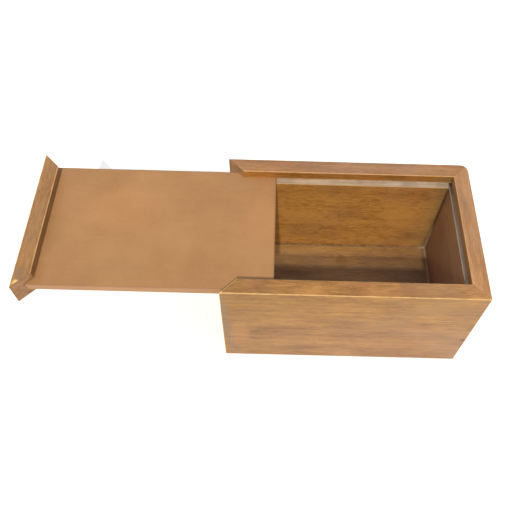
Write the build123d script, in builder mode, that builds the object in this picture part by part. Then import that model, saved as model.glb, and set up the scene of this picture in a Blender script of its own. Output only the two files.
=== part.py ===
"""Wooden box with a sliding lid whose end piece is disguised as part of the mitred rim.

Millimetres, +Z up. The origin is the centre of the box's base, X runs along the box and its lid
slides out towards -X. The boards are cut from one mitred, grooved frame, as the real box is made:
the head strip of the lid is the upper part of the left end, sawn off above the left wall.
"""
import os

from build123d import *

os.makedirs("parts", exist_ok=True)

# Driving dimensions
length = 155.0
width = 99.0
height = 86.0
wall = 10.0

head_height = 17.4  # the part of the left end that leaves with the lid
groove_below_rim = 6.0
groove_height = 6.0
groove_depth = 4.5

floor_thickness = 2.5
floor_rebate = 4.0  # how far the floor reaches under each wall

slide_gap = 0.3  # round the lid panel in its groove
seat_gap = 0.2  # between the closed head strip, the left wall and both mitres
lid_out = 118.0  # how far the lid is drawn out at rest

outer_easing = 0.6
rim_easing = 0.5
sawn_easing = 0.3
panel_easing = 0.5

bead = 1.5  # each leg of the dried glue in the inner corners
bead_below_lid = 1.0  # how far the upright beads stop under the lid's path

worn_corner_radius = 5.0  # the back right corner is rubbed round at the rim
worn_corner_depth = 16.0

# Worked out from them
half_length = length / 2
half_width = width / 2
inner_length = length - 2 * wall
inner_width = width - 2 * wall
left_wall_height = height - head_height
groove_top = height - groove_below_rim
groove_bottom = groove_top - groove_height
grooved_length = inner_length + 2 * groove_depth
grooved_width = inner_width + 2 * groove_depth
panel_front = -grooved_length / 2 - lid_out
panel_tip = grooved_length / 2 - slide_gap - lid_out
panel_length = panel_tip - panel_front
panel_width = grooved_width - 2 * slide_gap
panel_thickness = groove_height - 2 * slide_gap
right_bead_top = groove_bottom - bead_below_lid
left_bead_top = left_wall_height - bead_below_lid


# The whole mitred frame, with the lid groove and the floor rebate run round inside it
with BuildPart() as frame:
    with BuildSketch(Plane.XY):
        Rectangle(length, width)
        Rectangle(inner_length, inner_width, mode=Mode.SUBTRACT)
    extrude(amount=height)
    corner_edges = frame.edges().filter_by(Axis.Z).sort_by(lambda e: abs(e.center().X))[-4:]
    fillet(corner_edges, radius=outer_easing)
    rim_loops = frame.faces().sort_by(Axis.Z)[-1]
    fillet(rim_loops.outer_wire().edges(), radius=rim_easing)
    rim_loops = frame.faces().sort_by(Axis.Z)[-1]
    fillet(rim_loops.inner_wires()[0].edges(), radius=rim_easing)
    base_loops = frame.faces().sort_by(Axis.Z)[0]
    fillet(base_loops.outer_wire().edges(), radius=rim_easing)
    with BuildSketch(Plane.XY.offset(groove_bottom)):
        Rectangle(grooved_length, grooved_width)
    extrude(amount=groove_height, mode=Mode.SUBTRACT)
    with BuildSketch(Plane.XY):
        Rectangle(inner_length + 2 * floor_rebate, inner_width + 2 * floor_rebate)
    extrude(amount=floor_thickness, mode=Mode.SUBTRACT)
    # The worn corner: an arc that runs out of the corner as it goes down
    with BuildSketch(Plane.XY.offset(height)):
        with BuildLine():
            arc_start = (half_length, half_width - worn_corner_radius)
            arc_end = (half_length - worn_corner_radius, half_width)
            RadiusArc(arc_start, arc_end, -worn_corner_radius)
            Polyline(
                arc_end,
                (arc_end[0], half_width + wall),
                (half_length + wall, half_width + wall),
                (half_length + wall, arc_start[1]),
                arc_start,
            )
        make_face()
    extrude(
        amount=worn_corner_depth,
        dir=(1, 1, -worn_corner_depth / worn_corner_radius),
        mode=Mode.SUBTRACT,
    )


def mitred_block(outer, inner, plane, gap=0.0):
    """A block as tall as the box over one side, ending on the mitre planes, less a gap at each."""
    with BuildPart(mode=Mode.PRIVATE) as block:
        with BuildSketch(plane):
            with BuildLine():
                Polyline(
                    (-outer / 2 + gap, 0),
                    (outer / 2 - gap, 0),
                    (inner / 2 - gap, wall),
                    (-inner / 2 + gap, wall),
                    close=True,
                )
            make_face()
        extrude(amount=height)
    return block.part


def side_plane(x, y, along):
    """A sketch plane on the base whose X runs along an outer face, with its Y pointing inwards."""
    return Plane(origin=(x, y, 0), x_dir=along, z_dir=(0, 0, 1))


front_block = mitred_block(length, inner_length, side_plane(0, -half_width, (1, 0, 0)))
back_block = mitred_block(length, inner_length, side_plane(0, half_width, (-1, 0, 0)))
right_block = mitred_block(width, inner_width, side_plane(half_length, 0, (0, 1, 0)))
left_block = mitred_block(width, inner_width, side_plane(-half_length, 0, (0, -1, 0)))
mitre_gap = seat_gap * 2**0.5
head_block = mitred_block(width, inner_width, side_plane(-half_length, 0, (0, -1, 0)), mitre_gap)

# Front wall
with BuildPart() as front_wall:
    add(frame.part)
    add(front_block, mode=Mode.INTERSECT)
front_wall.part.label = "front_wall"
export_step(front_wall.part, "parts/front_wall.step")

# Back wall
with BuildPart() as back_wall:
    add(frame.part)
    add(back_block, mode=Mode.INTERSECT)
back_wall.part.label = "back_wall"
export_step(back_wall.part, "parts/back_wall.step")

# Right end wall
with BuildPart() as right_wall:
    add(frame.part)
    add(right_block, mode=Mode.INTERSECT)
right_wall.part.label = "right_wall"
export_step(right_wall.part, "parts/right_wall.step")

# Left end wall, lower than the others by the height of the lid's head strip
with BuildPart() as left_wall:
    add(frame.part)
    add(left_block, mode=Mode.INTERSECT)
    split(bisect_by=Plane.XY.offset(left_wall_height), keep=Keep.BOTTOM)
    sawn_edges = left_wall.faces().sort_by(Axis.Z)[-1].edges().filter_by(Axis.Y)
    fillet(sawn_edges, radius=sawn_easing)
left_wall.part.label = "left_wall"
export_step(left_wall.part, "parts/left_wall.step")

# Floor, let into the rebate from below
with BuildPart() as floor_panel:
    with BuildSketch(Plane.XY):
        Rectangle(inner_length + 2 * floor_rebate, inner_width + 2 * floor_rebate)
    extrude(amount=floor_thickness)
floor_panel.part.label = "floor_panel"
export_step(floor_panel.part, "parts/floor_panel.step")

# Head strip of the lid, which completes the rim when the lid is home
with BuildPart() as lid_head:
    add(frame.part)
    add(head_block, mode=Mode.INTERSECT)
    split(bisect_by=Plane.XY.offset(left_wall_height + seat_gap), keep=Keep.TOP)
    sawn_edges = lid_head.faces().sort_by(Axis.Z)[0].edges().filter_by(Axis.Y)
    fillet(sawn_edges, radius=sawn_easing)
lid_head.part.position = (-lid_out, 0, 0)
lid_head.part.label = "lid_head"
export_step(lid_head.part, "parts/lid_head.step")

# Lid panel, glued into the head strip's groove and free in the box's
with BuildPart() as lid_panel:
    panel_centre = (panel_front + panel_tip) / 2
    with BuildSketch(Plane((panel_centre, 0, groove_bottom + slide_gap))):
        Rectangle(panel_length, panel_width)
    extrude(amount=panel_thickness)
    tip_face = lid_panel.faces().sort_by(Axis.X)[-1]
    long_edges = lid_panel.edges().filter_by(Axis.X)
    fillet(tip_face.edges().filter_by(Axis.Y) + long_edges, radius=panel_easing)
lid_panel.part.label = "lid_panel"
export_step(lid_panel.part, "parts/lid_panel.step")

# Dried glue round the floor: a ring of three-cornered beads, mitred at its corners
with BuildPart() as floor_glue:
    with BuildSketch(Plane.XY.offset(floor_thickness)):
        Rectangle(inner_length, inner_width)
    extrude(amount=bead)
    with BuildSketch(Plane.XY.offset(floor_thickness + bead)):
        Rectangle(inner_length, inner_width)
    extrude(amount=-bead, taper=45, mode=Mode.SUBTRACT)
floor_glue.part.label = "floor_glue"
export_step(floor_glue.part, "parts/floor_glue.step")

# Dried glue up the four inner corners, from the ring to just under the lid
with BuildPart() as corner_glue:
    for side, bead_top in ((-1, left_bead_top), (1, right_bead_top)):
        for end in (-1, 1):
            corner = (side * inner_length / 2, end * inner_width / 2)
            with BuildSketch(Plane.XY.offset(floor_thickness + bead)):
                with BuildLine():
                    Polyline(
                        corner,
                        (corner[0] - side * bead, corner[1]),
                        (corner[0], corner[1] - end * bead),
                        close=True,
                    )
                make_face()
            extrude(amount=bead_top - floor_thickness - bead)
corner_glue.part.label = "corner_glue"
export_step(corner_glue.part, "parts/corner_glue.step")
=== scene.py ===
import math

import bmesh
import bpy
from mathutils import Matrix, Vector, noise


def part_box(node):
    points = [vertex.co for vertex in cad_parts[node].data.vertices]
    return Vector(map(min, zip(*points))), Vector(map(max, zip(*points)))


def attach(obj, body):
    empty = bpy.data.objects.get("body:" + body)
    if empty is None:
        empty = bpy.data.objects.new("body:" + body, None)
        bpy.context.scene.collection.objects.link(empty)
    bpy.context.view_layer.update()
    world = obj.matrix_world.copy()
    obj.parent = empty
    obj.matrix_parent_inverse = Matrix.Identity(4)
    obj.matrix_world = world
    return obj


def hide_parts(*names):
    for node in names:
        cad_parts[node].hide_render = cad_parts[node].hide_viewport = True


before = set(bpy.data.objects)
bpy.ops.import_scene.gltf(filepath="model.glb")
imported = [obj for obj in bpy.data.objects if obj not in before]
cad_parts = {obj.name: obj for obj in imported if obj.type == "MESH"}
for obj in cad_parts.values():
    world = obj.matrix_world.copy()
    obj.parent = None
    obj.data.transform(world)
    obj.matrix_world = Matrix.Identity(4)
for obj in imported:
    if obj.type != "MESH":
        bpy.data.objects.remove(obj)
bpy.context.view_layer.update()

# Looks of the sliding-lid wooden box: mitred boards, lid, dried glue, marks, table, light and camera.
# Everything is in metres in the CAD model's frame. Each board is a section swept along its run, and
# its points carry how far they are from a worn edge and from a mitre, for the materials.

mm = 0.001

# ---------------------------------------------------------------- sizes, all read from the frame
right_low, right_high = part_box("right_wall")
front_low, front_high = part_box("front_wall")
floor_low, floor_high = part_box("floor_panel")
panel_low, panel_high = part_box("lid_panel")
head_low, head_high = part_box("lid_head")
left_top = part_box("left_wall")[1].z
glue_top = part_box("corner_glue")[1].z

half_length = right_high.x
half_width = -front_low.y
height = front_high.z
wall = right_high.x - right_low.x
inner_half_length = half_length - wall
inner_half_width = half_width - wall
slide_gap = 0.3 * mm
groove_bottom = panel_low.z - slide_gap
groove_top = panel_high.z + slide_gap
groove_back = wall - (panel_high.y + slide_gap - inner_half_width)  # depth from the outer face
rebate_back = wall - (floor_high.x - inner_half_length)  # depth from the outer face
floor_top = floor_high.z
head_gap = half_width - head_high.y  # what each closed mitre leaves open, along the rim

# Rounded edges
rim_round = 0.55 * mm
corner_round = 0.6 * mm
sawn_round = 0.3 * mm
floor_round = 0.2 * mm
panel_round = 0.5 * mm
slab_push = 0.6  # a slab's edges are pushed in by this share of a full round
worn_corner_round = 5.0 * mm
worn_corner_depth = 14 * mm  # how far down the rubbed corner's rounding reaches

# Unevenness. All noise scales are per metre.
sag = 0.07 * mm  # how much the hand-planed faces wander
sag_scale = 28
slab_sag_scale = 24
face_reach = 0.1 * mm  # a section's point this near to a face lies on it, and wanders
nick_scale = 240
nick_level = 0.62  # noise above it bites into a worn edge
nick_gain = 0.42 * mm
nick_reach = 1.2 * mm  # from the edge
nick_drop = 2 * mm  # this near to the rim, a nick bites downwards too

# How fast each edge rubs pale, against 1 for the inner rim
foot_wear = 0.3
inner_foot_wear = 0.6
groove_top_wear = 0.4
groove_foot_wear = 0.8
outer_rim_wear = 0.35
front_wear = 1.1  # the front's and the lid head's outer rims, where the hands go
upright_wear = 0.3
upright_reach = 0.5 * mm  # only points this near to the outer face know of the upright corner
far = 1.0  # farther than any edge or mitre
far_mm = 99.0

# Mesh steps
section_step = 2.0 * mm
run_step = 1.6 * mm
slab_step = 3.2 * mm
bead_step = 1.1 * mm
edge_steps = (0.25 * mm, 0.6 * mm, 1.2 * mm, 2.4 * mm)
arc_steps = 4
halvings = 40
touching = 1e-7
wood_sharp_angle = 35
glue_sharp_angle = 60

# Dried glue: its legs as laid, and the shares that shape its hollow face
floor_bead = 1.2 * mm
corner_bead = 1.15 * mm
bead_thinnest = 0.75
bead_swell = 0.5
bead_tuck = -0.02 * mm  # its back is let into the wood a little, so that no light gets behind it
bead_far = 0.62
bead_near = 0.14
bead_hollow = 0.30
hollow_swell = 0.12
first_leg_noise = (95, 3)  # scale and seed
second_leg_noise = (120, 8)
hollow_noise = (200, 13)
left_bead_drop = 1 * mm  # the left beads stop this far below the wall's top

# Material places on a board
OUTER, INNER, GROOVE, MITRE = range(4)


# ---------------------------------------------------------------- sections and sweeps
def steps_between(start, end, step):
    """Distances along a straight run: short steps beside both ends, even steps between."""
    span = end - start
    near = [e for e in edge_steps if e < span / 3]
    lead = near[-1] if near else 0.0
    count = max(1, round((span - 2 * lead) / step))
    middle = [lead + (span - 2 * lead) * k / count for k in range(count + 1)]
    places = near[:-1] + middle + [span - e for e in reversed(near[:-1])]
    return [start + p for p in places if 0 < p < span]


def section(corners):
    """Points of a closed section, from corners of (depth, height, rounding, wear, place after it).

    Wear is how fast an edge rubs pale, with 0 for an inside corner. The place names the material of
    the face that runs on from the corner.
    """
    points = []
    count = len(corners)
    for i, (depth, level, radius, _, place) in enumerate(corners):
        here = Vector((depth, level))
        back = (Vector(corners[i - 1][:2]) - here).normalized()
        on_corner = corners[(i + 1) % count]
        on = (Vector(on_corner[:2]) - here).normalized()
        arc = arc_steps if radius else 0
        for k in range(arc + 1):
            turn = k / arc * math.pi / 2 if arc else 0.0
            point = here + (back + on) * radius - (back * math.sin(turn) + on * math.cos(turn)) * radius
            points.append((point, place if k == arc else corners[i - 1][4]))
        span = (Vector(on_corner[:2]) - here).length
        for along in steps_between(radius, span - on_corner[2], section_step):
            points.append((here + on * along, place))
    return points


def edge_distance(point, corners):
    """Distance to the nearest edge that rubs, over how fast it rubs."""
    return min((point - Vector(c[:2])).length / c[3] for c in corners if c[3])


def arc_depth(distance, radius):
    """How far a rounded upright corner lies inside the flat face, at a distance from its end."""
    if distance >= radius:
        return 0.0
    return radius - math.sqrt(radius**2 - (radius - max(distance, 0.0)) ** 2)


def pushed(depth, distance, radius):
    """A point's depth once the upright corner is rounded: less of a push the deeper it is."""
    share = max(0.0, 1 - depth / (2 * radius))
    return depth + arc_depth(distance, radius) * share


def mitre_end(depth, radius):
    """Distance from the upright corner at which a point reaches the 45 degree mitre."""
    low, high = 0.0, max(depth, radius) + radius
    for _ in range(halvings):
        middle = (low + high) / 2
        if middle < pushed(depth, middle, radius):
            low = middle
        else:
            high = middle
    return high


def uneven(point, scale, seed):
    """Smooth noise between 0 and 1."""
    return 0.5 + 0.5 * noise.noise(point * scale + Vector((seed, 2.7 * seed, -1.3 * seed)))


def dented(point, dents):
    """The point pushed in by each (centre, reach, push) knock that it lies within."""
    for centre, reach, push in dents:
        near = (point - Vector(centre)).length / reach
        if near < 1:
            point = point + Vector(push) * (1 - near**2) ** 2
    return point


def board(name, corners, half_run, place_point, seed, corner_radius, end_gap=0.0, dents=()):
    """A mitred board: its section swept between two mitres, with worn edges and uneven faces.

    place_point takes a point of (run, depth, height) into the box's frame. corner_radius gives the
    upright corner's rounding at one end and level.
    """
    points = section(corners)
    distances = [edge_distance(p, corners) for p, _ in points]
    verts, edges_mm, seams_mm = [], [], []
    ends = [[mitre_end(p.x, corner_radius(side, p.y)) + end_gap for p, _ in points] for side in (-1, 1)]
    shortest = 2 * half_run - max(ends[0]) - max(ends[1])
    stations = [0.0] + [s / shortest for s in steps_between(0, shortest, run_step)] + [1.0]
    for share in stations:
        for i, (point, _) in enumerate(points):
            start = -half_run + ends[0][i]
            run = start + share * (half_run - ends[1][i] - start)
            side = -1 if run < 0 else 1
            from_corner = half_run - abs(run)
            depth = pushed(point.x, from_corner, corner_radius(side, point.y))
            vertex = Vector((run, depth, point.y))
            near_edge = max(0.0, 1 - distances[i] / nick_reach)
            bite = max(0.0, uneven(vertex, nick_scale, seed) - nick_level) * nick_gain * near_edge
            on_face = min(point.x, abs(wall - point.x)) < face_reach
            wander = sag * uneven(vertex, sag_scale, seed + 5) if on_face else 0.0
            inward = 1 if point.x < wall / 2 else -1
            vertex.y += inward * (bite + wander)
            vertex.z -= bite if point.y > height - nick_drop else 0.0
            verts.append(dented(Vector(place_point(vertex)), dents))
            upright = from_corner / upright_wear if depth < upright_reach else far
            edges_mm.append(min(distances[i], upright) / mm)
            seams_mm.append((from_corner - depth - end_gap) / math.sqrt(2) / mm)
    row = len(points)
    faces, places = [], []
    for s in range(len(stations) - 1):
        for i in range(row):
            j = (i + 1) % row
            faces.append((s * row + i, s * row + j, (s + 1) * row + j, (s + 1) * row + i))
            places.append(points[i][1])
    faces.append(tuple(reversed(range(row))))
    faces.append(tuple((len(stations) - 1) * row + i for i in range(row)))
    places += [MITRE, MITRE]
    return solid(name, verts, faces, places, edges_mm, seams_mm)


def closed_piece(name, verts, faces, sharp_angle):
    """An object with one closed, smooth-shaded mesh whose faces all look outwards."""
    mesh = bpy.data.meshes.new(name)
    mesh.from_pydata([tuple(v) for v in verts], [], faces)
    shell = bmesh.new()
    shell.from_mesh(mesh)
    bmesh.ops.recalc_face_normals(shell, faces=shell.faces)
    shell.to_mesh(mesh)
    shell.free()
    mesh.polygons.foreach_set("use_smooth", [True] * len(mesh.polygons))
    mesh.set_sharp_from_angle(angle=math.radians(sharp_angle))
    piece = bpy.data.objects.new(name, mesh)
    bpy.context.scene.collection.objects.link(piece)
    return piece


def solid(name, verts, faces, places, edges_mm, seams_mm):
    """A closed wooden piece with its faces' materials, and its two measures stored on its points."""
    piece = closed_piece(name, verts, faces, wood_sharp_angle)
    piece.data.polygons.foreach_set("material_index", places)
    for label, values in (("edge", edges_mm), ("seam", seams_mm)):
        layer = piece.data.attributes.new(label, "FLOAT", "POINT")
        layer.data.foreach_set("value", values)
    return piece


def slab(name, low, high, rounding, seed):
    """A thin panel with eased edges, and a top and an underside that wander a little."""
    grid = [[low[n], *steps_between(low[n], high[n], slab_step), high[n]] for n in range(3)]
    last = [len(line) - 1 for line in grid]
    centre = (Vector(low) + Vector(high)) / 2
    index, verts, edges_mm = {}, [], []

    def gap(point, n):
        """Distance across axis n to the nearer of the slab's two faces."""
        return abs((high[n] if point[n] > centre[n] else low[n]) - point[n])

    def vertex(place):
        if place not in index:
            point = Vector([grid[n][place[n]] for n in range(3)])
            gaps = sorted(gap(point, n) for n in range(3))
            for n in range(3):
                nearest = min(gap(point, other) for other in range(3) if other != n)
                if gap(point, n) < touching:
                    outward = 1 if point[n] > centre[n] else -1
                    point[n] -= outward * arc_depth(nearest, rounding) * slab_push
            wander = sag * uneven(point, slab_sag_scale, seed)
            if place[2] == last[2]:
                point.z -= wander
            if place[2] == 0:
                point.z += wander
            index[place] = len(verts)
            verts.append(point)
            edges_mm.append(math.hypot(gaps[0], gaps[1]) / mm)
        return index[place]

    faces = []
    for across, first, second in ((2, 0, 1), (1, 0, 2), (0, 1, 2)):
        for i in range(last[first]):
            for j in range(last[second]):
                for end in (0, last[across]):
                    loop = []
                    for along, aside in ((0, 0), (1, 0), (1, 1), (0, 1)):
                        place = [end] * 3
                        place[first] = i + along
                        place[second] = j + aside
                        loop.append(vertex(tuple(place)))
                    faces.append(loop)
    return solid(name, verts, faces, [OUTER] * len(faces), edges_mm, [far_mm] * len(verts))


# ---------------------------------------------------------------- material nodes
class Tree:
    """Short calls for one material's nodes."""

    def __init__(self, name):
        self.material = bpy.data.materials.new(name)
        self.material.use_nodes = True
        self.nodes = self.material.node_tree.nodes
        self.links = self.material.node_tree.links
        self.shader = self.nodes["Principled BSDF"]
        self.object_point = self.nodes.new("ShaderNodeTexCoord").outputs["Object"]

    def feed(self, socket, value):
        if isinstance(value, bpy.types.NodeSocket):
            self.links.new(value, socket)
        else:
            socket.default_value = value

    def math(self, operation, *values, clamp=False):
        node = self.nodes.new("ShaderNodeMath")
        node.operation = operation
        node.use_clamp = clamp
        for socket, value in zip(node.inputs, values):
            self.feed(socket, value)
        return node.outputs[0]

    def vector_math(self, operation, *values):
        node = self.nodes.new("ShaderNodeVectorMath")
        node.operation = operation
        for socket, value in zip(node.inputs, values):
            self.feed(socket, value)
        return node.outputs["Value" if operation in ("LENGTH", "DOT_PRODUCT") else "Vector"]

    def between(self, value, low, high):
        """Low where the value is 0 and high where it is 1, in a straight line."""
        return self.math("MULTIPLY_ADD", value, high - low, low)

    def weighted(self, *layers):
        """The sum of the values, each times its share."""
        total = 0.0
        for value, share in layers:
            total = self.math("MULTIPLY_ADD", value, share, total)
        return total

    def scaled(self, vector, amount):
        node = self.nodes.new("ShaderNodeVectorMath")
        node.operation = "SCALE"
        self.feed(node.inputs[0], vector)
        self.feed(node.inputs["Scale"], amount)
        return node.outputs["Vector"]

    def mapped(self, point, scale=(1, 1, 1), move=(0, 0, 0), turn=(0, 0, 0)):
        node = self.nodes.new("ShaderNodeMapping")
        self.feed(node.inputs["Vector"], point)
        node.inputs["Scale"].default_value = scale
        node.inputs["Location"].default_value = move
        node.inputs["Rotation"].default_value = turn
        return node.outputs["Vector"]

    def noise(self, scale, point=None, move=(0, 0, 0), detail=3.0, roughness=0.55, distortion=0.0):
        """Noise with one scale, or one for each axis, at the surface's own point or another."""
        scales = scale if isinstance(scale, tuple) else (scale,) * 3
        place = self.object_point if point is None else point
        node = self.nodes.new("ShaderNodeTexNoise")
        self.feed(node.inputs["Vector"], self.mapped(place, scales, move))
        node.inputs["Scale"].default_value = 1.0
        node.inputs["Detail"].default_value = detail
        node.inputs["Roughness"].default_value = roughness
        node.inputs["Distortion"].default_value = distortion
        return node.outputs["Fac"]

    def noise_along(self, value, scale, detail, roughness):
        node = self.nodes.new("ShaderNodeTexNoise")
        node.noise_dimensions = "1D"
        self.feed(node.inputs["W"], value)
        node.inputs["Scale"].default_value = scale
        node.inputs["Detail"].default_value = detail
        node.inputs["Roughness"].default_value = roughness
        return node.outputs["Fac"]

    def band(self, value, low, high, to_low=0.0, to_high=1.0):
        """A smooth step from to_low to to_high as the value goes from low to high."""
        node = self.nodes.new("ShaderNodeMapRange")
        node.interpolation_type = "SMOOTHSTEP"
        for label, number in (("From Min", low), ("From Max", high), ("To Min", to_low), ("To Max", to_high)):
            node.inputs[label].default_value = number
        self.feed(node.inputs["Value"], value)
        return node.outputs["Result"]

    def near(self, distance, core, edge, strength=1.0):
        """The strength up to the core's distance, and then a smooth fall to nothing at the edge's."""
        return self.band(distance, core, edge, strength, 0.0)

    def ramp(self, value, places, colours):
        """The colours blended, each at its own place between 0 and 1."""
        node = self.nodes.new("ShaderNodeValToRGB")
        elements = node.color_ramp.elements
        while len(elements) < len(places):
            elements.new(0.5)
        for element, place, colour in zip(elements, places, colours):
            element.position = place
            element.color = (*colour, 1)
        self.feed(node.inputs["Fac"], value)
        return node.outputs["Color"]

    def mix(self, share, first, second, blend="MIX"):
        node = self.nodes.new("ShaderNodeMix")
        node.data_type = "RGBA"
        node.blend_type = blend
        self.feed(node.inputs["Factor"], share)
        colour_sockets = [s for s in node.inputs if s.type == "RGBA"]
        for socket, value in zip(colour_sockets, (first, second)):
            self.feed(socket, value if isinstance(value, bpy.types.NodeSocket) else (*value, 1))
        return [s for s in node.outputs if s.type == "RGBA"][0]

    def attribute(self, label):
        node = self.nodes.new("ShaderNodeAttribute")
        node.attribute_name = label
        return node.outputs["Fac"]

    def bump(self, height_value, strength, distance):
        node = self.nodes.new("ShaderNodeBump")
        node.inputs["Strength"].default_value = strength
        node.inputs["Distance"].default_value = distance
        self.feed(node.inputs["Height"], height_value)
        self.feed(self.shader.inputs["Normal"], node.outputs["Normal"])

    def marked(self, colour, marks):
        """The colour with each mark painted over it in turn."""
        for mark in marks:
            colour = mark(self, colour)
        return colour

    def finish(self, colour, roughness, specular=None, coat_roughness=None):
        """The shader's colour and gloss, with a thin coat if its roughness is given."""
        self.feed(self.shader.inputs["Base Color"], colour)
        self.feed(self.shader.inputs["Roughness"], roughness)
        if specular is not None:
            self.shader.inputs["Specular IOR Level"].default_value = specular
        if coat_roughness is not None:
            self.shader.inputs["Coat Weight"].default_value = stain_coat
            self.shader.inputs["Coat Roughness"].default_value = coat_roughness
        return self.material


def srgb(red, green, blue):
    """A colour as seen on a screen, from 0 to 255, as linear light."""
    def linear(value):
        share = value / 255
        return share / 12.92 if share <= 0.04045 else ((share + 0.055) / 1.055) ** 2.4

    return tuple(linear(v) for v in (red, green, blue))


def tinted(colour, share):
    return tuple(c * share for c in colour)


# ---------------------------------------------------------------- colours
# Three tones of each wood: dark, middle and light
outer_tones = (srgb(122, 81, 50), srgb(158, 112, 71), srgb(183, 137, 91))
front_tones = (srgb(112, 74, 40), srgb(150, 104, 57), srgb(175, 127, 74))
light_outer_tones = (srgb(130, 88, 54), srgb(168, 120, 76), srgb(192, 145, 97))
inner_tones = (srgb(102, 64, 27), srgb(149, 99, 44), srgb(184, 129, 62))
end_inner_tones = (srgb(130, 92, 58), srgb(168, 124, 84), srgb(192, 148, 104))
floor_tones = (srgb(110, 79, 48), srgb(152, 112, 70), srgb(178, 137, 88))
head_tones = (srgb(118, 78, 44), srgb(152, 108, 64), srgb(178, 132, 82))
lid_tones = (srgb(147, 103, 64), srgb(160, 115, 72), srgb(170, 125, 81))

# Rubbed and raw wood
worn_tone = srgb(206, 164, 104)
worn_soft = srgb(196, 145, 91)
worn_inner = srgb(196, 146, 84)
worn_orange = srgb(196, 138, 78)
worn_lip = srgb(196, 158, 110)
raw_wood = srgb(226, 186, 112)

# Unstained grooves and sawn mitres: dark and light. The end walls' groove is paler still, as painted light
groove_tones = (srgb(162, 134, 106), srgb(210, 184, 156))
end_groove_tones_with_painted_light = (srgb(214, 190, 164), srgb(240, 218, 192))
head_groove_tones = (srgb(108, 82, 58), srgb(150, 124, 96))
mitre_tones = (srgb(112, 74, 42), srgb(162, 116, 70))

# Glue, dirt and stains, with painted shadow and painted light for the glue beads
glue_tones = (srgb(94, 63, 32), srgb(116, 79, 43), srgb(134, 95, 55))
# painted shadow on the upright glue beads above their lower part
painted_glue_shadow = srgb(96, 68, 38)
# a pale glue colour, also used as painted light on the glue beads at the box's ends
pale_glue_and_painted_light = srgb(158, 134, 108)
glue_smear = srgb(170, 146, 114)
mitre_smear = srgb(172, 138, 94)
dark_line = srgb(84, 54, 34)
grey_line = srgb(118, 102, 86)
grey_patch = srgb(128, 106, 80)
grey_green = srgb(140, 116, 68)
grey_brown = srgb(136, 108, 78)
golden = srgb(188, 136, 62)
rim_red = srgb(150, 96, 66)

# Tints, which multiply a colour
olive_tint = (0.86, 0.90, 0.74)
top_tint = (0.96, 0.94, 0.64)
lip_tint = (0.82, 0.73, 0.54)
rim_tint = (0.94, 0.93, 0.98)
rim_glow = (1.24, 1.27, 1.80)
# painted shade for the back wall's inside, towards its left corner and its foot
painted_corner_shade = (0.52, 0.55, 0.62)
back_floor_tint = (0.80, 0.74, 0.53)
# painted shade: the long groove goes greyer and a little darker towards the right
painted_groove_grey_shade = (0.88, 0.92, 1.0)
# painted shade where the long groove runs into the right corner
painted_groove_end_shade = (0.82, 0.80, 0.78)
# painted shade on a groove's upward-facing shelf, under its lip
painted_shelf_shade = (0.78, 0.76, 0.76)
corner_shade = (0.67, 0.75, 0.84)
low_shade = (0.72, 0.71, 1.06)
deep_shade = (0.76, 0.74, 0.94)
upper_shade = (0.92, 0.88, 0.90)
right_shade = (0.92, 0.92, 1.05)
floor_shade = (0.60, 0.60, 0.66)
head_shade = (0.88, 0.86, 0.86)

# Lifts, which are screened over a colour
pink_lift = (0.045, 0.030, 0.022)
# painted light, lifting the floor's front part where the front wall's shadow falls
painted_light_in_shadow = (0.024, 0.046, 0.042)

# Gloss
stain_specular = 0.28
stain_coat = 0.05
glue_specular = 0.2

# Noise scales of stained wood, along its grain and twice across it
swing_scale = (48, 26, 26)
warp_scale = (9, 42, 42)
band_scale = (9, 120, 120)
streak_scale = (42, 820, 820)
fibre_scale = (150, 1300, 1300)
pore_scale = (420, 1500, 1500)
blotch_scale = (34, 75, 75)
patch_scale = (24, 40, 40)

# How much each layer of grain adds to the tone, besides the streaks
ring_share = 0.14
band_share = 0.15
fibre_share = 0.34
blotch_share = 0.22

# Other measures of stained wood
log_shift = 0.37  # along the grain per seed, so that no two woods share their grain
grain_swing = 6 * mm
ring_bend = 9 * mm
pore_band = (0.56, 0.72)
pore_strength = 0.36
pore_tint = 0.75
patch_band = (0.45, 0.7)
patch_tint = 0.9
patch_grey = 0.35
wood_roughness = (0.36, 0.58)
rub_scale = 210
rub_band = (-0.12, 0.20)  # millimetres about the ragged limit of the rubbed edge
rub_strength = 0.8
rub_roughness = 0.12

# The lid's plain board
cloud_scale = (32, 30, 30)
speck_scale = 900
fine_streak_scale = (40, 520, 520)
lid_spread = 0.24
lid_roughness = (0.36, 0.56)
lid_rub_band = (0.1, 0.6)
lid_rub_strength = 0.6
lid_rub_tint = 0.8

# Grooves, mitres and glue
dust_places = (0.36, 0.62)
saw_scale = (260, 260, 1400)
smear_scale = 260
smear_band = (0.46, 0.66)
smear_strength = 0.45
glue_scale = 240
glue_places = (0.34, 0.55, 0.74)


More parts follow.
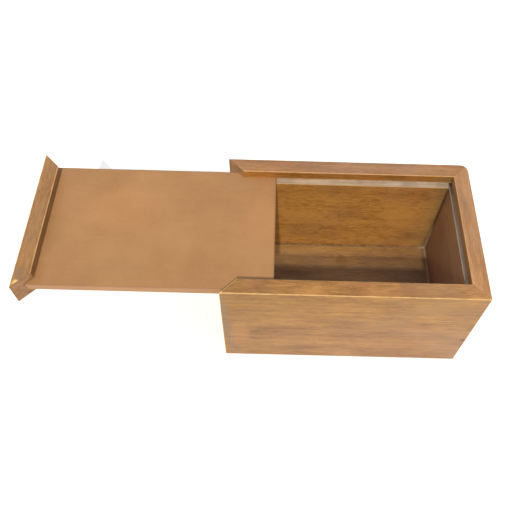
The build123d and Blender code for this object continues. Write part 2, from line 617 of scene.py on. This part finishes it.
# ---------------------------------------------------------------- materials
def wood(name, tones, along, seed, heart=(0.05, 0.09), ring=3.2, spread=0.15, cloud=0.3,
         wave=1.0, streaky=0.15, worn=None, wear_width=0.4, marks=()):
    """Stained wood: growth rings round a heart, fibres, pores, stain blotches, rubbed edges.

    The rings are about as far apart as ring says in millimetres. A smaller spread gives more contrast.
    """
    dark, middle, _ = tones
    t = Tree(name)
    turn = (0, 0, math.radians(90)) if along == "Y" else (0, 0, 0)
    point = t.mapped(t.object_point, move=(log_shift * seed, 0, 0), turn=turn)
    # The grain waves slowly along the board
    swing = t.noise(swing_scale, point, (seed, 0, seed), detail=2)
    sideways = t.scaled((0, 1, 1), t.math("MULTIPLY", swing, grain_swing * wave))
    point = t.vector_math("ADD", point, sideways)
    # Rings, bent by slow noise that runs with the grain
    warp = t.noise(warp_scale, point, (seed, 2 * seed, 0), detail=3, distortion=0.4)
    across = t.mapped(point, scale=(0, 1, 1), move=(0, *heart))
    radius = t.vector_math("LENGTH", across)
    bent = t.math("ADD", radius, t.math("MULTIPLY", warp, ring_bend))
    rings = t.noise_along(bent, 1 / (ring * mm), detail=3, roughness=0.65)
    # Soft bands, streaks, fibres and pores, each finer than the last, and stain that took unevenly
    bands = t.noise(band_scale, point, (2 * seed, seed, 0), detail=2, roughness=0.5)
    streaks = t.noise(streak_scale, point, (seed, 0, 5 * seed), detail=3, roughness=0.6)
    fibres = t.noise(fibre_scale, point, (0, seed, 3 * seed), detail=4, roughness=0.65)
    pore = t.band(t.noise(pore_scale, point, (seed, seed, 0)), *pore_band)
    blotch = t.noise(blotch_scale, point, (3 * seed, 0, seed), roughness=0.5)
    tone = t.weighted((rings, ring_share), (bands, band_share), (streaks, streaky), (fibres, fibre_share),
                      (blotch, blotch_share))
    colour = t.ramp(tone, (0.5 - spread, 0.5, 0.5 + spread), tones)
    colour = t.mix(t.math("MULTIPLY", pore, pore_strength), colour, tinted(dark, pore_tint))
    # Patches that have gone grey
    patches = t.band(t.noise(patch_scale, point, (0, 5 * seed, 0), detail=2), *patch_band)
    grey = sum(middle) / 3
    greyed = tuple((1 - patch_grey) * c + patch_grey * grey for c in tinted(middle, patch_tint))
    colour = t.mix(t.math("MULTIPLY", patches, cloud), colour, greyed)
    colour = t.marked(colour, marks)
    rough = t.between(fibres, *wood_roughness)
    if worn:
        limit = t.math("MULTIPLY", t.noise(rub_scale, move=(seed, 0, 0), detail=4), 2 * wear_width)
        rubbed = t.near(t.math("SUBTRACT", t.attribute("edge"), limit), *rub_band)
        colour = t.mix(t.math("MULTIPLY", rubbed, rub_strength), colour, worn)
        rough = t.math("MULTIPLY_ADD", rubbed, rub_roughness, rough)
    relief = t.weighted((fibres, 1), (streaks, 0.5), (pore, -0.8))
    t.bump(relief, strength=0.3, distance=0.1 * mm)
    return t.finish(colour, rough, stain_specular, coat_roughness=0.28)


def plain_board(name, marks=()):
    """The lid's smooth board: even stain over a face with next to no grain."""
    t = Tree(name)
    cloud = t.noise(cloud_scale, detail=5, roughness=0.6)
    speck = t.noise(speck_scale)
    streak = t.noise(fine_streak_scale)
    tone = t.weighted((cloud, 0.7), (speck, 0.18), (streak, 0.12))
    base = t.marked(t.ramp(tone, (0.5 - lid_spread, 0.5, 0.5 + lid_spread), lid_tones), marks)
    ragged_edge = t.weighted((t.attribute("edge"), 1), (speck, -0.5))
    rubbed = t.near(ragged_edge, *lid_rub_band, lid_rub_strength)
    base = t.mix(rubbed, base, tinted(lid_tones[0], lid_rub_tint))
    t.bump(t.weighted((speck, 1), (streak, 0.5)), strength=0.12, distance=0.1 * mm)
    return t.finish(base, t.between(cloud, *lid_roughness), stain_specular, coat_roughness=0.3)


def dusty_groove(name, tones, along, marks=()):
    """The grooves were never stained through: pale, dusty and streaked along their length. The end walls'
    groove is given paler tones still, as painted light.
    """
    t = Tree(name)
    streaks = t.noise((30, 400, 400) if along == "X" else (400, 30, 400), detail=4, roughness=0.6)
    lumps = t.noise(90)
    tone = t.weighted((streaks, 0.55), (lumps, 0.45))
    t.bump(streaks, strength=0.5, distance=0.15 * mm)
    return t.finish(t.marked(t.ramp(tone, dust_places, tones), marks), roughness=0.72)


def glued_mitre(name):
    """A sawn end face with smears of old glue."""
    t = Tree(name)
    saw = t.noise(saw_scale)
    smear = t.band(t.noise(smear_scale, detail=4), *smear_band)
    base = t.mix(t.math("MULTIPLY", smear, smear_strength), t.ramp(saw, (0.3, 0.7), mitre_tones), mitre_smear)
    t.bump(saw, strength=0.4, distance=0.2 * mm)
    return t.finish(base, roughness=0.62)


def glue_look(name, marks):
    """Dried glue: lumpy, and coloured by the stain that it took up."""
    t = Tree(name)
    lumps = t.noise(glue_scale, detail=4)
    t.bump(lumps, strength=0.5, distance=0.3 * mm)
    base = t.marked(t.ramp(lumps, glue_places, glue_tones), marks)
    return t.finish(base, 0.6, glue_specular)


# ---------------------------------------------------------------- marks
# Each is made with its place and colour, and then paints over a material's colour
def at(x, y, z):
    """A point, or a size along X, Y and Z, given in millimetres."""
    return (x * mm, y * mm, z * mm)


def on_front(x, z):
    """A point on the front's outer face, given in millimetres."""
    return (x * mm, -half_width, z * mm)


def on_back_inside(x, z):
    """A point on the back's inner face, given in millimetres."""
    return (x * mm, inner_half_width, z * mm)


def on_top(x, y, level):
    """A point on a top face at that level in metres, with its place in millimetres."""
    return (x * mm, y * mm, level)


def at_level(z):
    """A point of that level in metres, for fades that run up or down."""
    return (0, 0, z)


def along_span(t, start, end):
    """The surface's offset from the start point, and its share of the way to the end point."""
    span = Vector(end) - Vector(start)
    offset = t.vector_math("SUBTRACT", t.object_point, start)
    share = t.math("DIVIDE", t.vector_math("DOT_PRODUCT", offset, span), span.length_squared, clamp=True)
    return offset, share


# A spot is at full strength up to the first share of its size, and gone at the second
spot_core, spot_edge = 0.6, 1.05
stroke_core = 0.2
lip_core, lip_edge = 0.4, 1.2  # millimetres from a groove's edge
fade_cloud_scale = (45, 60, 60)
fade_cloud = (0.7, 1.3)
X, Y = range(2)


def seam_line(colour, strength, axis, side, width=0.35):
    """A line along the mitre at one end of a board, which runs along X or Y: side is -1 or 1."""
    def paint(t, base):
        line = t.near(t.attribute("seam"), 0.0, width, strength)
        separate = t.nodes.new("ShaderNodeSeparateXYZ")
        t.feed(separate.inputs[0], t.object_point)
        end = t.math("GREATER_THAN", t.math("MULTIPLY", separate.outputs[axis], side), 0.0)
        return t.mix(t.math("MULTIPLY", line, end), base, colour)

    return paint


def groove_lip(colour, strength):
    """A pale line along a groove's rubbed edges."""
    def paint(t, base):
        return t.mix(t.near(t.attribute("edge"), lip_core, lip_edge, strength), base, colour)

    return paint


def fade(start, end, colour, strength, blend="MULTIPLY"):
    """A tint that comes in slowly from the start point to the end point."""
    def paint(t, base):
        _, share = along_span(t, start, end)
        cloud = t.between(t.noise(fade_cloud_scale), *fade_cloud)
        return t.mix(t.math("MULTIPLY", t.math("MULTIPLY", share, cloud), strength), base, colour, blend)

    return paint


def spot(centre, size, colour, strength, rag=0.35):
    """A rough-edged spot: its size is its reach along X, Y and Z."""
    def paint(t, base):
        offset = t.vector_math("SUBTRACT", t.object_point, centre)
        scaled = t.vector_math("DIVIDE", offset, size)
        ragged = t.between(t.noise(700), -rag / 2, rag / 2)
        reach = t.math("ADD", t.vector_math("LENGTH", scaled), ragged)
        return t.mix(t.near(reach, spot_core, spot_edge, strength), base, colour)

    return paint


def stroke(start, end, width, colour, strength):
    """A thin scratch or line between two points."""
    def paint(t, base):
        offset, share = along_span(t, start, end)
        nearest = t.scaled(Vector(end) - Vector(start), share)
        gap = t.vector_math("LENGTH", t.vector_math("SUBTRACT", offset, nearest))
        wobble = t.between(t.noise(900), -width / 2, width / 2)
        return t.mix(t.near(t.math("ADD", gap, wobble), stroke_core * width, width, strength), base, colour)

    return paint


# ---------------------------------------------------------------- the boards
def wall_corners(top, bottom=0.0, grooved=True, rebated=True, outer_wear=outer_rim_wear):
    """A board's section, from its outer bottom edge up and over: depth, height, rounding, wear, face."""
    foot = rim_round if bottom == 0 else sawn_round
    top_round = rim_round if top == height else sawn_round
    corners = [
        (0.0, bottom, foot, foot_wear, OUTER),
        (0.0, top, top_round, outer_wear, OUTER),
        (wall, top, top_round, 1.0, INNER),
    ]
    if grooved:
        corners += [
            (wall, groove_top, 0.0, groove_top_wear, GROOVE),
            (groove_back, groove_top, 0.0, 0.0, GROOVE),
            (groove_back, groove_bottom, 0.0, 0.0, GROOVE),
            (wall, groove_bottom, 0.0, groove_foot_wear, INNER),
        ]
    if rebated:
        corners += [
            (wall, floor_top, 0.0, 0.0, INNER),
            (rebate_back, floor_top, 0.0, 0.0, INNER),
            (rebate_back, bottom, 0.0, 0.0, OUTER),
        ]
    else:
        corners.append((wall, bottom, foot, inner_foot_wear, OUTER))
    return corners


def plain_corner(side, level):
    """The upright corner's rounding where nothing has rubbed it."""
    return corner_round


def worn_corner(worn_side):
    """The upright corner's rounding where one end of a board meets the rubbed back right corner."""
    def radius(side, level):
        share = max(0.0, 1 - (height - level) / worn_corner_depth)
        return max(corner_round, worn_corner_round * share) if side == worn_side else corner_round

    return radius


def dress(piece, body, node, materials):
    """A piece's materials, and what it replaces and rides on."""
    for material in materials:
        piece.data.materials.append(material)
    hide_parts(node)
    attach(piece, body)


def shelf_shade(tint, strength):
    """Painted shade on the groove's lower side, which faces up."""
    return fade(at_level(groove_bottom + 0.4 * mm), at_level(groove_bottom), tint, strength)


def rim_shade(tint, reach):
    """A tint on the rim's top, gone this far below it."""
    return fade(at_level(height - reach), at_level(height), tint, 0.9)


def lip_shade():
    """The thin shaded lip above the groove, on a board's inner face."""
    return fade(at_level(groove_top - 0.5 * mm), at_level(groove_top), lip_tint, 0.9)


def front_board(groove, mitre):
    marks = [
        seam_line(worn_tone, 0.8, X, -1, 0.45),
        seam_line(dark_line, 0.12, X, 1),
        fade(at(10, 0, 60), at(-70, 0, 80), olive_tint, 0.5),
        fade(at(0, 0, 30), at(0, 0, 78), top_tint, 1.0),
        fade(at(0, 0, 50), at(75, 0, 5), pink_lift, 0.8, "SCREEN"),
        stroke(on_front(-77.0, 80), on_front(-74.0, 40), 3.4 * mm, grey_line, 0.34),
        stroke(on_front(-74.6, 44), on_front(-71.0, 6), 4.8 * mm, grey_line, 0.32),
        spot(on_front(-67, 32), at(7, 3, 20), worn_orange, 0.20, 1.6),
        spot(on_front(-70, 11), at(9, 3, 3.5), dark_line, 0.16, 0.9),
        spot(on_front(-52, 66), at(20, 3, 3), dark_line, 0.12, 0.9),
        rim_shade(rim_glow, 0.5 * mm),
        spot(on_top(2, -41, height), at(11, 4, 1), rim_red, 0.36, 1.4),
        spot(on_top(30, -46, height), at(14, 2.8, 1), rim_red, 0.20, 1.4),
        spot(on_top(-58, -43, height), at(10, 4, 1), rim_red, 0.28, 1.4),
        spot(on_top(-26, -47, height), at(12, 2.4, 1), worn_orange, 0.35, 1.4),
        spot(on_front(-44, 43), at(34, 3, 3), dark_line, 0.20, 0.9),
        spot(on_front(4, 44), at(14, 3, 2.2), dark_line, 0.14, 0.9),
        spot(on_front(-24, 13), at(16, 3, 3.2), dark_line, 0.20, 0.9),
        spot((-31 * mm, -half_width, height), at(0.5, 1, 1), dark_line, 0.8),
        spot((-half_length, -half_width, height), at(2.6, 2.6, 1.2), worn_tone, 0.8),
        spot((half_length, -half_width, height), at(1.8, 1.8, 1.2), worn_tone, 0.8),
        spot(on_front(75.6, 31.4), at(2.6, 1.4, 1.6), dark_line, 0.7),
        spot(on_front(75.0, 47.1), at(1.8, 1.2, 1.3), grey_line, 0.6),
    ]
    grain = {"along": "X", "seed": 1.3, "heart": (0.02, -0.21), "ring": 3.6}
    outside = wood("front_outer", front_tones, **grain, spread=0.115, wave=0.5, streaky=0.16,
                   worn=worn_tone, wear_width=0.34, marks=marks)
    inside = wood("front_inner", inner_tones, **grain, worn=worn_inner)
    # Where the corner was knocked, how far that reaches and how far it went in
    knock = ((half_length, -half_width, 25.1 * mm), 2.2 * mm, at(-0.5, 0.5, 0))
    piece = board("front_board", wall_corners(height, outer_wear=front_wear), half_length,
                  lambda p: (p.x, -half_width + p.y, p.z), seed=1, corner_radius=plain_corner,
                  dents=[knock])
    dress(piece, "box", "front_wall", [outside, inside, groove, mitre])


def back_board(groove, mitre):
    outer_marks = [
        rim_shade(rim_tint, 0.4 * mm),
        seam_line(dark_line, 0.5, X, -1),
        seam_line(dark_line, 0.08, X, 1),
        spot((half_length, 46.8 * mm, height), at(2.4, 2, 2), worn_orange, 0.6),
    ]
    inner_marks = [
        lip_shade(),
        # painted shade: darker towards the left inner corner, and a little towards the foot
        fade(at(-44, 0, 0), at(-66, 0, -10), painted_corner_shade, 0.8),
        fade(at(0, 0, 30), at(0, 0, 4), painted_corner_shade, 0.15),
        fade(at(0, 0, 50), at(0, 0, 66), upper_shade, 0.9),
        fade(at(20, 0, 0), at(58, 0, 0), right_shade, 0.9),
        fade(at(50, 0, 0), at(64, 0, 0), grey_green, 0.35, "MIX"),
        fade(at(60, 0, 0), at(67, 0, 0), corner_shade, 0.9),
        spot(on_back_inside(-12, 62), at(40, 3, 10), golden, 0.12, 0.5),
        spot(on_back_inside(38, 44), at(16, 3, 7), golden, 0.22, 0.5),
    ]
    grain = {"along": "X", "seed": 4.1, "heart": (-0.12, -0.02), "ring": 4.2}
    outside = wood("back_outer", outer_tones, **grain, worn=worn_soft, wear_width=0.34, marks=outer_marks)
    inside = wood("back_inner", inner_tones, **grain, spread=0.12, cloud=0.15, wave=2.2, streaky=0.30,
                  worn=worn_inner, marks=inner_marks)
    piece = board("back_board", wall_corners(height), half_length,
                  lambda p: (-p.x, half_width - p.y, p.z), seed=2, corner_radius=worn_corner(-1))
    dress(piece, "box", "back_wall", [outside, inside, groove, mitre])


def right_board(groove, mitre):
    outer_marks = [
        seam_line(dark_line, 0.08, Y, 1),
        seam_line(dark_line, 0.12, Y, -1),
        spot((half_length, 46 * mm, height), at(1.6, 3.4, 2), worn_orange, 0.6),
    ]
    inner_marks = [
        fade(at(0, 30, 50), at(0, 0, 14), low_shade, 0.9),
        fade(at(0, -5, 30), at(0, -39, 5), deep_shade, 0.9),
        lip_shade(),
        spot((inner_half_length, 22 * mm, 40 * mm), at(2, 12, 16), rim_red, 0.16, 0.9),
    ]
    grain = {"along": "Y", "seed": 7.7, "heart": (0.09, -0.1)}
    outside = wood("right_outer", light_outer_tones, **grain, worn=worn_soft, wear_width=0.34,
                   marks=outer_marks)
    inside = wood("right_inner", end_inner_tones, **grain, streaky=0.25, worn=worn_inner, marks=inner_marks)
    piece = board("right_board", wall_corners(height), half_width,
                  lambda p: (half_length - p.y, p.x, p.z), seed=3, corner_radius=worn_corner(1))
    dress(piece, "box", "right_wall", [outside, inside, groove, mitre])


def left_board(groove, mitre):
    marks = [
        seam_line(glue_smear, 0.75, Y, 1, 1.3),
        seam_line(dark_line, 0.7, Y, 1, 0.4),
        seam_line(worn_tone, 0.5, Y, -1, 0.4),
        stroke(on_top(-72.2, 19.6, left_top), on_top(-68.6, 10.1, left_top), 0.5 * mm, dark_line, 0.6),
        stroke(on_top(-71.0, 19.9, left_top), on_top(-68.2, 12.6, left_top), 0.4 * mm, worn_tone, 0.6),
        stroke(on_top(-73.4, 16.2, left_top), on_top(-68.8, 8.9, left_top), 0.4 * mm, dark_line, 0.5),
    ]
    grain = {"along": "Y", "seed": 9.2, "heart": (-0.07, -0.15)}
    outside = wood("left_outer", outer_tones, **grain, worn=worn_tone, marks=marks)
    inside = wood("left_inner", end_inner_tones, **grain, worn=worn_inner)
    piece = board("left_board", wall_corners(left_top, grooved=False), half_width,
                  lambda p: (-half_length + p.y, -p.x, p.z), seed=4, corner_radius=plain_corner)
    dress(piece, "box", "left_wall", [outside, inside, groove, mitre])


def walls():
    mitre = glued_mitre("glued_mitre")
    lengthwise = dusty_groove("groove_lengthwise", groove_tones, "X", [
        # painted shade: greyer and a little darker towards the right
        fade(at(-25, 0, 0), at(45, 0, 0), painted_groove_grey_shade, 0.9),
        # painted shade at the groove's right end, in the corner
        fade(at(58, 0, 0), at(70, 0, 0), painted_groove_end_shade, 0.9),
        # painted shade on the shelf under the groove's lip
        shelf_shade(painted_shelf_shade, 0.5),
        groove_lip(worn_lip, 0.5),
    ])
    # the end walls' groove: unstained wood, made paler as painted light where the lamps hardly reach
    crosswise = dusty_groove("groove_crosswise", end_groove_tones_with_painted_light, "Y", [
        # painted shade on the shelf under the groove's lip
        shelf_shade(tinted(painted_shelf_shade, 0.66), 0.9),
    ])
    front_board(lengthwise, mitre)
    back_board(lengthwise, mitre)
    right_board(crosswise, mitre)
    left_board(crosswise, mitre)


# ---------------------------------------------------------------- floor, lid and glue
def floor_board():
    marks = [
        fade(at(0, 29, 0), at(0, 35, 0), back_floor_tint, 0.9),
        # painted light in the front wall's shadow on the floor
        fade(at(0, 24, 0), at(0, 19, 0), painted_light_in_shadow, 0.9, "SCREEN"),
        fade(at(28, 0, 0), at(64, 26, 0), floor_shade, 0.9),
        fade(at(60, 0, 0), at(66.5, 0, 0), grey_brown, 0.4, "MIX"),
        fade(at(-60, 0, 0), at(-66.5, 0, 0), grey_brown, 0.4, "MIX"),
        spot(on_top(4, 25, floor_top), at(5, 8, 2), dark_line, 0.22, 0.9),
        spot(on_top(-30, 14, floor_top), at(14, 3, 2), dark_line, 0.25, 0.9),
    ]
    material = wood("floor_wood", floor_tones, "X", seed=5.5, heart=(0.3, 0.015), ring=7.0, spread=0.13,
                    streaky=0.24, marks=marks)
    piece = slab("floor_board", floor_low, floor_high, floor_round, seed=11)
    dress(piece, "box", "floor_panel", [material])


def lid_head():
    outer = head_low.x
    end = -half_width + head_gap
    chip_place = (outer + 3 * mm, end + 3 * mm, height)
    marks = [
        spot((outer + 3.9 * mm, end + 9.4 * mm, height), at(3.6, 4.4, 1.6), grey_patch, 0.5, 1.5),
        spot(chip_place, at(2.6, 2.6, 2.2), raw_wood, 0.9),
        spot((outer, end, height), at(1.4, 1.8, 2), raw_wood, 0.7),
        fade((outer + 6 * mm, 0, 0), (outer + 9.5 * mm, 0, 0), head_shade, 0.9),
        spot((outer, -8 * mm, 76 * mm), at(2, 9, 4), grey_patch, 0.25, 1.2),
        spot((outer, 20 * mm, 78 * mm), at(2, 12, 4), worn_orange, 0.22, 1.2),
        spot((outer, half_width - head_gap, height), at(2, 2.6, 1.4), worn_tone, 0.7),
    ]
    grain = {"along": "Y", "seed": 12.4, "heart": (0.05, -0.12), "ring": 3.0}
    outside = wood("head_outer", head_tones, **grain, worn=worn_tone, wear_width=0.5, marks=marks)
    inside = wood("head_inner", head_tones, **grain, worn=worn_tone)
    groove = dusty_groove("head_groove", head_groove_tones, "Y")
    chip = (chip_place, 3 * mm, at(-0.5, 0.6, -1))
    corners = wall_corners(height, bottom=head_low.z, rebated=False, outer_wear=front_wear)
    piece = board("head_strip", corners, half_width, lambda p: (outer + p.y, -p.x, p.z), seed=6,
                  corner_radius=plain_corner, end_gap=head_gap, dents=[chip])
    dress(piece, "lid", "lid_head", [outside, inside, groove, glued_mitre("lid_mitre")])


def lid_panel():
    top = panel_high.z
    marks = [
        spot(on_top(-141, 12, top), at(26, 22, 4), worn_orange, 0.16, 0.9),
        spot(on_top(-54, 6, top), at(12, 22, 4), worn_orange, 0.14, 0.9),
        spot(on_top(-140, -33, top), at(22, 9, 4), grey_green, 0.14, 0.9),
        spot(on_top(-70, 36, top), at(16, 9, 4), pale_glue_and_painted_light, 0.10, 0.9),
    ]
    piece = slab("lid_board", panel_low, panel_high, panel_round, seed=15)
    dress(piece, "lid", "lid_panel", [plain_board("lid_board", marks)])


def bead(name, node, paths, size, material):
    """Dried glue squeezed into inner corners: a hollow-faced strip that swells and thins.

    Each path has its two ends and the directions of the two faces that the bead clings to.
    """
    verts, faces = [], []
    for path in paths:
        start, end, first, second = (Vector(v) for v in path)
        count = round((end - start).length / bead_step)
        base = len(verts)
        for k in range(count + 1):
            place = start.lerp(end, k / count)
            leg = size * (bead_thinnest + bead_swell * uneven(place, *first_leg_noise))
            other_leg = size * (bead_thinnest + bead_swell * uneven(place, *second_leg_noise))
            hollow = bead_hollow + hollow_swell * uneven(place, *hollow_noise)
            outline = (
                (bead_tuck, bead_tuck),
                (leg, bead_tuck),
                (leg * bead_far, other_leg * bead_near),
                (leg * hollow, other_leg * hollow),
                (leg * bead_near, other_leg * bead_far),
                (bead_tuck, other_leg),
            )
            verts += [place + first * a + second * b for a, b in outline]
        ring = len(outline)
        for k in range(count):
            for i in range(ring):
                j = (i + 1) % ring
                a, b = base + k * ring, base + (k + 1) * ring
                faces.append((a + i, b + i, b + j, a + j))
        faces.append(tuple(base + i for i in range(ring)))
        faces.append(tuple(base + count * ring + i for i in reversed(range(ring))))
    piece = closed_piece(name, verts, faces, glue_sharp_angle)
    dress(piece, "box", node, [material])


def glue():
    material = glue_look("dried_glue", [
        # painted light: the beads at both ends, which lie in shade, fade to a pale colour
        fade(at(61, 0, 0), at(67, 0, 0), pale_glue_and_painted_light, 0.9, "MIX"),
        fade(at(-61, 0, 0), at(-67, 0, 0), pale_glue_and_painted_light, 0.7, "MIX"),
        # painted shadow: the upright beads go dark above their lower part
        fade(at(0, 0, 20), at(0, 0, 34), painted_glue_shadow, 0.9, "MIX"),
    ])
    x, y, z = inner_half_length, inner_half_width, floor_top
    up = (0, 0, 1)
    floor_paths = [
        ((-x, y, z), (x, y, z), (0, -1, 0), up),
        ((x, -y, z), (-x, -y, z), (0, 1, 0), up),
        ((x, y, z), (x, -y, z), (-1, 0, 0), up),
        ((-x, -y, z), (-x, y, z), (1, 0, 0), up),
    ]
    bead("floor_beads", "floor_glue", floor_paths, floor_bead, material)
    corner_paths = []
    for side, top in ((-1, left_top - left_bead_drop), (1, glue_top)):
        for end in (-1, 1):
            foot = (side * x, end * y, z)
            corner_paths.append((foot, (side * x, end * y, top), (-side, 0, 0), (0, -end, 0)))
    bead("corner_beads", "corner_glue", corner_paths, corner_bead, material)


# ---------------------------------------------------------------- table, light and camera
table_reach = 3.0
table_colour = (0.98, 0.965, 0.92, 1)
lamp_colour = (1.03, 1.0, 0.92)
room_colour = (0.91, 0.99, 1.15, 1)
room_strength = 0.53
backdrop_colour = (0.86, 0.86, 0.86, 1)

# The camera, measured from the box's front left corner on the table, in box lengths and in degrees
eye_place = (0.188, -1.069, 2.532)
eye_turn = (31.96, -1.16, 1.02)
eye_lens = 43.4
eye_shift = -0.039


def stage_floor():
    r = table_reach
    mesh = bpy.data.meshes.new("table")
    mesh.from_pydata([(-r, -r, 0), (r, -r, 0), (r, r, 0), (-r, r, 0)], [], [(0, 1, 2, 3)])
    table = bpy.data.objects.new("table", mesh)
    bpy.context.scene.collection.objects.link(table)
    mesh.materials.append(Tree("white_table").finish(table_colour, 0.6))


def lamp(name, rise, bearing, spread, strength):
    """A far lamp: its rise, its bearing from the front and how wide it looks, in degrees."""
    data = bpy.data.lights.new(name, "SUN")
    data.angle = math.radians(spread)
    data.energy = strength
    data.color = lamp_colour
    light = bpy.data.objects.new(name, data)
    light.rotation_euler = (math.radians(90 - rise), 0, math.radians(bearing))
    bpy.context.scene.collection.objects.link(light)


def lights():
    """Two high lamps, whose shadows fall on the box's floor in steps, a soft fill and a bright room."""
    lamp("low_lamp", rise=49.8, bearing=-4, spread=1.6, strength=1.95)
    lamp("high_lamp", rise=54.2, bearing=3, spread=2.4, strength=1.30)
    lamp("fill_lamp", rise=32, bearing=232, spread=60, strength=0.45)
    world = bpy.data.worlds.new("studio")
    world.use_nodes = True
    nodes = world.node_tree.nodes
    link = world.node_tree.links.new
    room = nodes["Background"]
    room.inputs["Color"].default_value = room_colour
    room.inputs["Strength"].default_value = room_strength
    backdrop = nodes.new("ShaderNodeBackground")
    backdrop.inputs["Color"].default_value = backdrop_colour
    choice = nodes.new("ShaderNodeMixShader")
    link(nodes.new("ShaderNodeLightPath").outputs["Is Camera Ray"], choice.inputs["Fac"])
    link(room.outputs[0], choice.inputs[1])
    link(backdrop.outputs[0], choice.inputs[2])
    link(choice.outputs[0], nodes["World Output"].inputs["Surface"])
    bpy.context.scene.world = world
    bpy.context.scene.view_settings.view_transform = "Standard"


def camera():
    data = bpy.data.cameras.new("camera")
    data.lens = eye_lens
    data.shift_x = eye_shift
    data.clip_start = 10 * mm
    eye = bpy.data.objects.new("camera", data)
    corner = Vector((-half_length, -half_width, 0))
    eye.location = corner + 2 * half_length * Vector(eye_place)
    eye.rotation_euler = [math.radians(a) for a in eye_turn]
    bpy.context.scene.collection.objects.link(eye)
    bpy.context.scene.camera = eye


walls()
floor_board()
lid_head()
lid_panel()
glue()
stage_floor()
lights()
camera()
